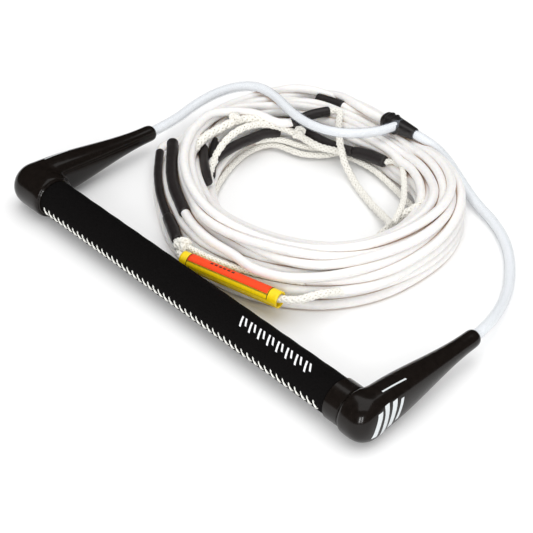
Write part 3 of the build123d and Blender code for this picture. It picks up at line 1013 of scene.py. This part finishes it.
def grip_marks(material):
    """A plain row of thin slanted bars in pairs, printed along the top of the grip."""
    points, faces = [], []
    for pair in range(8):
        for bar in range(2):
            start = 0.060 + 0.0088 * pair + 0.0034 * bar
            first = len(points)
            for r in range(9):
                for c in range(3):
                    x = start + 0.0016 * c / 2 + 0.0040 * r / 8
                    points.append(on_grip(x, 4 + (30 - 9 * bar) * r / 8, GRIP_R + 0.00022))
            faces += grid_faces(first, 9, 3)
    mesh = bpy.data.meshes.new("grip_bars")
    mesh.from_pydata(points, [], faces)
    add("grip_bars", mesh, material=material)


# ----------------------------------------------------------------- tag
def tag_point(at, degrees, radius):
    """A point on the tag: at metres from its left end, degrees from the top towards the front."""
    heading = (TAG_FINISH - TAG_START).normalized()
    front = Vector((heading.y, -heading.x, 0))
    a = math.radians(degrees)
    spot = TAG_START + heading * at
    return tuple(spot + front * (radius * math.sin(a)) + Vector((0, 0, radius * math.cos(a))))


def tag_shell(inner, outer, first, last, start, finish, rows=64, columns=60):
    """A curved sheet with thickness between two angles and two places along the tag."""
    points, faces = [], []
    for radius in (outer, inner):
        for i in range(columns + 1):
            at = start + (finish - start) * i / columns
            for k in range(rows + 1):
                points.append(tag_point(at, first + (last - first) * k / rows, radius))
    layer = (columns + 1) * (rows + 1)

    def spot(side, i, k):
        return side * layer + i * (rows + 1) + k

    for i in range(columns):
        for k in range(rows):
            faces.append((spot(0, i, k), spot(0, i, k + 1), spot(0, i + 1, k + 1), spot(0, i + 1, k)))
            faces.append((spot(1, i, k), spot(1, i + 1, k), spot(1, i + 1, k + 1), spot(1, i, k + 1)))
    for i in range(columns):
        for k in (0, rows):
            faces.append((spot(0, i, k), spot(0, i + 1, k), spot(1, i + 1, k), spot(1, i, k)))
    for k in range(rows):
        for i in (0, columns):
            faces.append((spot(0, i, k), spot(1, i, k), spot(1, i, k + 1), spot(0, i, k + 1)))
    return np.array(points), faces


def tag(yellow, orange, ink):
    length = (TAG_FINISH - TAG_START).length
    tube = tag_shell(TAG_R - TAG_WALL, TAG_R, SPLIT_EDGE, SPLIT_EDGE + TAG_WRAP, 0, length)
    rolled = add("rolled_tag", joined_mesh("rolled_tag", [tube]), "tag", yellow)
    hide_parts("tag_tube")
    band = tag_shell(TAG_R + 0.00002, TAG_R + 0.00016, -42, 42, 0.0065, length - 0.0085, 24, 40)
    label = add("tag_band", joined_mesh("tag_band", [band]), "tag", orange)
    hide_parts("tag_label")
    low, high = 0.0062, length - 0.0082
    lines = []
    for first, last in ((43.5, 46.5), (49, 50.5), (-46, -43.5), (78, 79)):
        lines.append(tag_shell(TAG_R + 0.00001, TAG_R + 0.00010, first, last, low, high, 3, 40))
    for at in (low, high):
        lines.append(tag_shell(TAG_R + 0.00001, TAG_R + 0.00020, -46, 78, at, at + 0.0005, 40, 2))
    for dash in range(6):
        at = 0.024 + 0.0036 * dash
        lines.append(tag_shell(TAG_R + 0.00016, TAG_R + 0.00022, -12, 2, at, at + 0.0022, 4, 2))
    add("tag_lines", joined_mesh("tag_lines", lines), "tag", ink)


# ----------------------------------------------------------------- the object
def paint(material, *names):
    """Gives CAD nodes that keep their own shape a material."""
    for name in names:
        slots = NODES[name].material_slots
        for place in slots:
            place.link = "OBJECT"
            place.material = material


def build():
    # Painted shade: the coated line turns warm tan in the deep gaps between coil strands, found by ambient
    # occlusion.
    line = surface("coated_line", (0.84, 0.825, 0.81), 0.34, bump=0.03, scale=300, vary=0.03,
                   subsurface=0.25, rough_vary=0.06, gap_shade_colour=(0.62, 0.36, 0.18))
    jacket = surface("clear_jacket", (0.42, 0.48, 0.56), 0.08, coat=1.0, alpha=0.20, rough_vary=0.03)
    core = surface("bridle_core", (0.93, 0.94, 0.95), 0.6, bump=0.5, scale=900, vary=0.06)
    # Painted shade: the braid yarn darkens in the narrow gaps between its strands, found by ambient
    # occlusion.
    braid = surface("braid_yarn", (0.86, 0.84, 0.78), 0.6, bump=0.35, scale=2500, vary=0.10,
                    sheen=0.2, gap_shade_colour=(0.30, 0.25, 0.16), gap_reach=0.0012)
    black_sleeve = surface("shrink_black", (0.020, 0.016, 0.016), 0.40, bump=0.10, scale=700,
                           vary=0.2, rough_vary=0.08, specular=0.4)
    joint = surface("joint_black", (0.014, 0.012, 0.012), 0.34, bump=0.10, scale=900, vary=0.2,
                    rough_vary=0.10)
    gloss = surface("cap_gloss", (0.008, 0.006, 0.005), 0.20, bump=0.01, scale=250, vary=0.2,
                    coat=0.12, rough_vary=0.05, specular=0.18)
    silver = surface("silver_ink", (0.62, 0.65, 0.66), 0.4, bump=0.05, scale=1500, vary=0.08)
    suede = surface("grip_suede", (0.0035, 0.0030, 0.0030), 0.95, bump=0.5, scale=1600, vary=0.5,
                    specular=0.08)
    thread = surface("white_thread", (0.88, 0.88, 0.83), 0.6, bump=0.3, scale=4000, vary=0.1)
    print_white = surface("white_print", (0.82, 0.82, 0.84), 0.5, bump=0.1, scale=2500, vary=0.05)
    yellow = surface("tag_yellow", (0.93, 0.66, 0.0), 0.38, bump=0.05, scale=500, vary=0.08,
                     subsurface=0.1)
    orange = surface("tag_orange", (0.86, 0.055, 0.004), 0.45, bump=0.05, scale=700, vary=0.08,
                     specular=0.3)
    ink = surface("tag_ink", (0.05, 0.02, 0.01), 0.5, bump=0.05, scale=900, vary=0.2)
    metal = surface("tube_metal", (0.62, 0.63, 0.65), 0.35, bump=0.05, scale=800, vary=0.05)
    foam = surface("foam", (0.02, 0.02, 0.02), 0.95, bump=0.5, scale=1200, vary=0.3)
    rubber = surface("plug_rubber", (0.03, 0.03, 0.03), 0.7, bump=0.2, scale=600, vary=0.3)

    bridle_leg("bridle_left", BRIDLE_LEFT, jacket, core)
    bridle_leg("bridle_right", BRIDLE_RIGHT, jacket, core)
    cords = coiled_line(line)
    pieces = {
        name: sleeve(name, diameter, points, black_sleeve, 1.7 * i)
        for i, (name, (diameter, points)) in enumerate(SLEEVES.items())
    }
    braided_cords(braid)
    knots(braid)
    yoke(joint)
    end_caps(gloss, silver)
    grip_cover(suede)
    grip_stitches(thread)
    grip_marks(print_white)
    tag(yellow, orange, ink)
    paint(metal, "bar_tube")
    paint(foam, "foam_sleeve")
    paint(rubber, "bar_plug_left", "bar_plug_right")
    paint(gloss, "collar_left", "collar_right")
    paint(core, "cap_knot_left", "cap_knot_right")


make_camera()
make_stage()
build()

bpy.context.view_layer.update()
